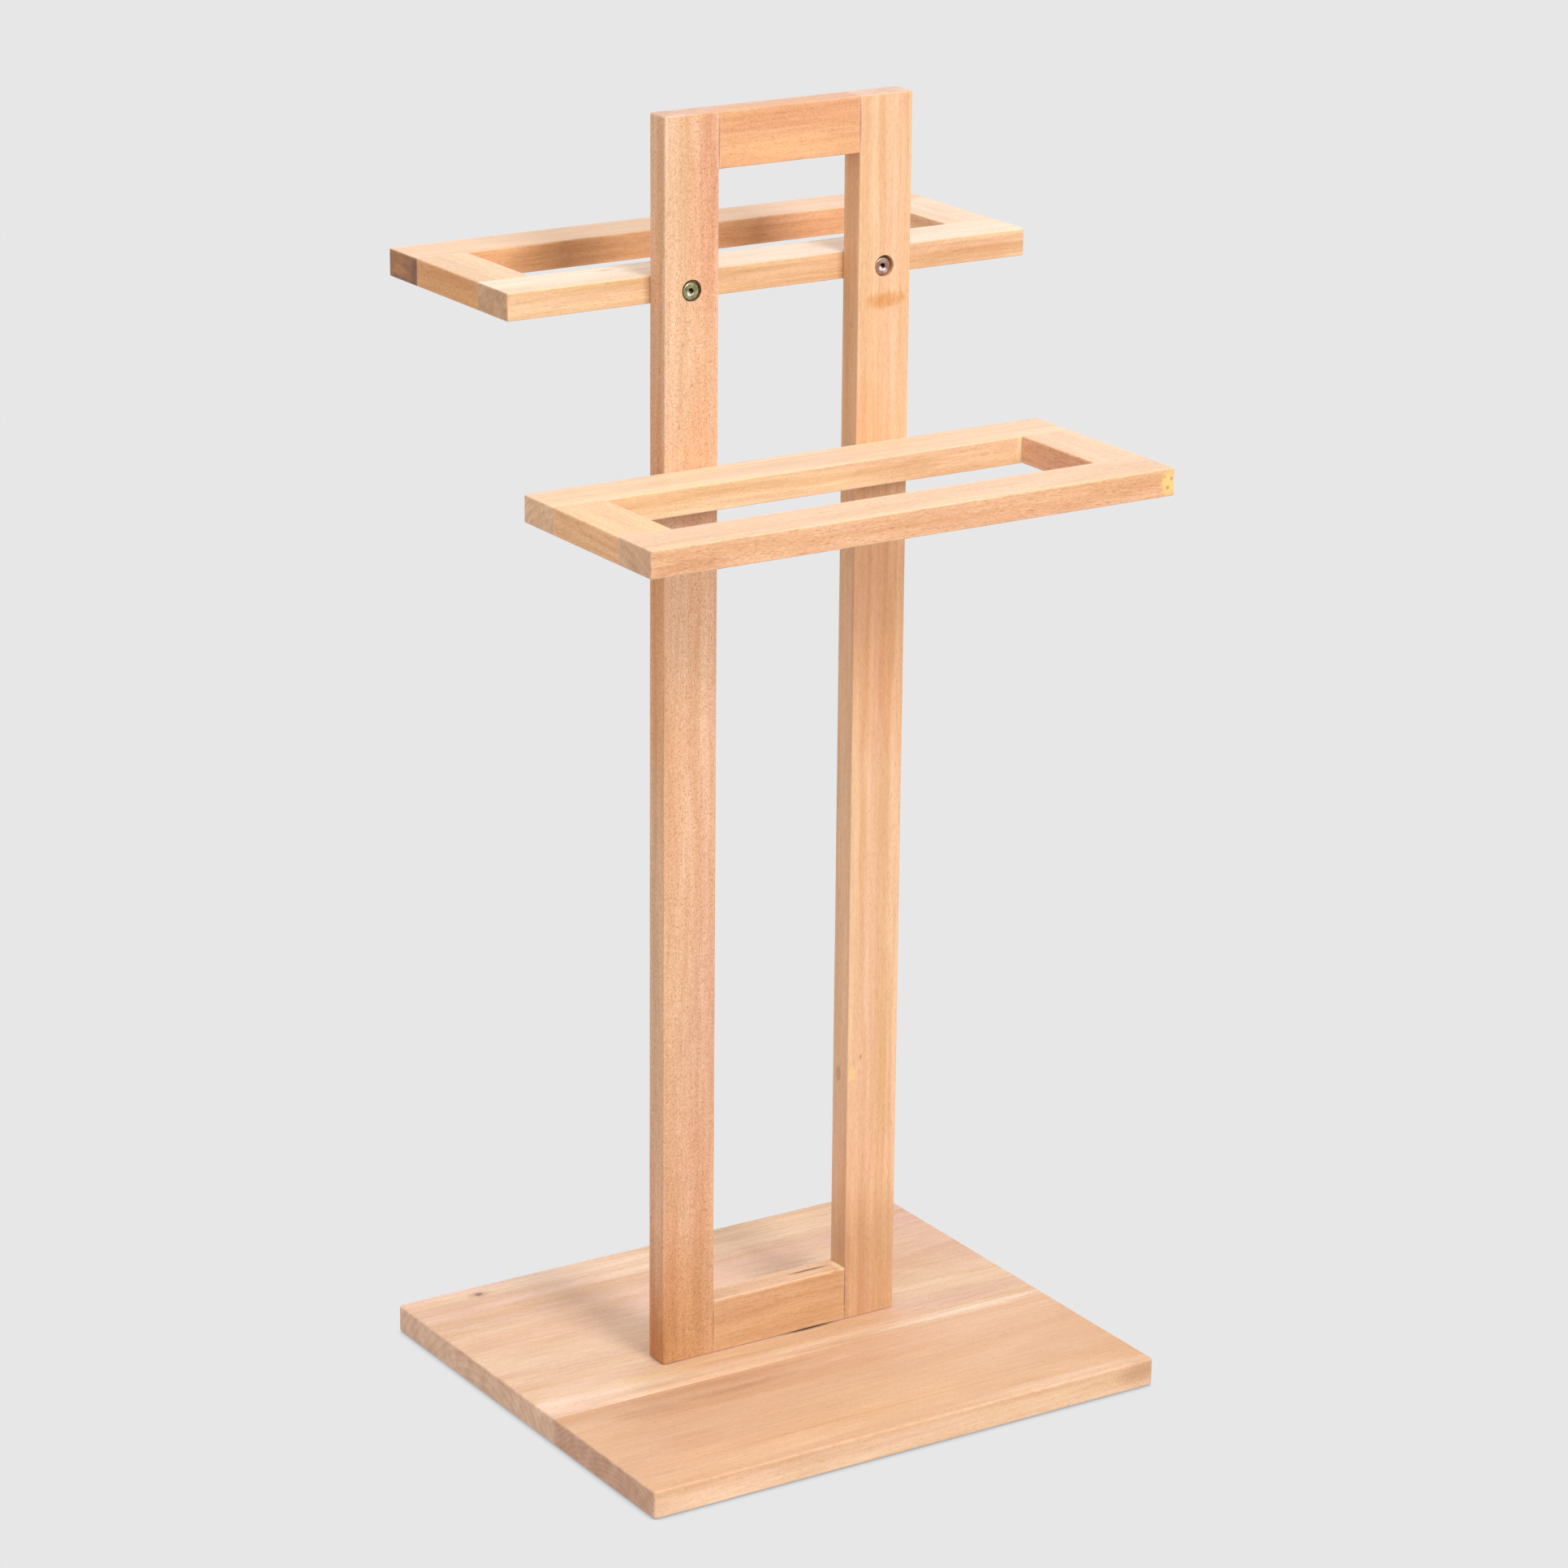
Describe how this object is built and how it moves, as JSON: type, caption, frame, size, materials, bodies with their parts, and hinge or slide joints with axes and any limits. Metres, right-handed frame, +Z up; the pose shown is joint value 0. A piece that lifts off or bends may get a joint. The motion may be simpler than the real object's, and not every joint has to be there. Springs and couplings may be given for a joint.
{
  "type": "towel stand",
  "caption": "Freestanding wooden towel stand: flat base board, slim ladder-frame upright, and level slotted towel frames bolted to its front and back at different heights.",
  "frame": {"origin": "on the floor, under the middle of the base board", "axes": "+Z up, +X to the right seen from the front, +Y to the back, where the upper towel frame is"},
  "size_m": [0.4, 0.348, 0.88],
  "materials": {
    "base_front_wood": "oiled",
    "base_back_wood": "oiled",
    "left_stile_wood": "oiled",
    "right_stile_wood": "oiled",
    "cross_rail_wood": "oiled",
    "upper_frame_wood": "oiled",
    "lower_frame_wood": "oiled",
    "end_bar_wood": "oiled",
    "dowel_wood": "bare",
    "yellow_zinc_steel": "yellow passivated zinc",
    "zinc_insert": "die-cast zinc"
  },
  "bodies": {
    "root": {"base_plank_front": "base_front_wood", "base_plank_back": "base_back_wood", "stile_left": "left_stile_wood", "stile_right": "right_stile_wood", "top_rail": "cross_rail_wood", "bottom_rail": "cross_rail_wood", "top_rail_dowels": "dowel_wood", "bottom_rail_dowels": "dowel_wood", "upper_inner_bar": "upper_frame_wood", "upper_outer_bar": "upper_frame_wood", "upper_end_bar_left": "end_bar_wood", "upper_end_bar_right": "end_bar_wood", "upper_frame_dowels": "dowel_wood", "lower_inner_bar": "lower_frame_wood", "lower_outer_bar": "lower_frame_wood", "lower_end_bar_left": "end_bar_wood", "lower_end_bar_right": "end_bar_wood", "lower_frame_dowels": "dowel_wood", "upper_frame_bolts": "yellow_zinc_steel", "lower_frame_bolts": "yellow_zinc_steel", "base_bolts": "yellow_zinc_steel", "upper_frame_inserts": "zinc_insert", "lower_frame_inserts": "zinc_insert", "base_inserts": "zinc_insert"}
  },
  "joints": []
}
